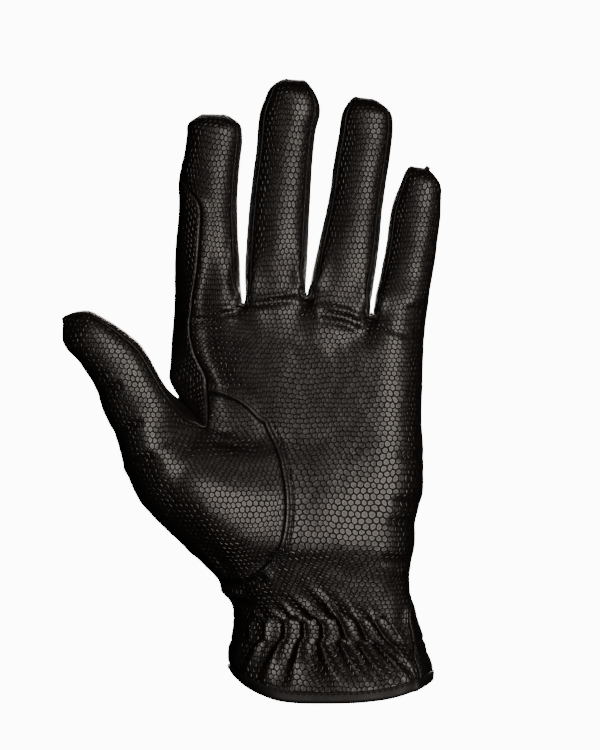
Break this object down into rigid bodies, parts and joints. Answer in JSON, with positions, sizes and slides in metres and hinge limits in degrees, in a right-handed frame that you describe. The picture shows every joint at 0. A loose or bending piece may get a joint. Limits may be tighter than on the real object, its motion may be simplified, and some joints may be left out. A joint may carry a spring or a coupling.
{
  "type": "riding glove",
  "caption": "Left-hand riding glove in black embossed leather, standing open as worn, with an elasticated gathered wrist and a bound hem.",
  "frame": {"origin": "middle of the wrist opening, at the level of the hem's lowest point", "axes": "+Z from the hem to the fingertips, -Y the way the palm faces, -X towards the thumb"},
  "size_m": [0.1434, 0.0539, 0.2363],
  "materials": {
    "leather": "black synthetic leather with a small rounded scale emboss, semi-gloss on the scales",
    "binding": "smooth black leather tape, satin"
  },
  "bodies": {
    "root": {"palm_panel": "leather", "back_panel": "leather", "thumb_front": "leather", "thumb_back": "leather", "thumb_gusset": "leather", "fourchette_index_middle": "leather", "fourchette_middle_ring": "leather", "fourchette_ring_little": "leather", "cuff_binding": "binding"}
  },
  "joints": []
}
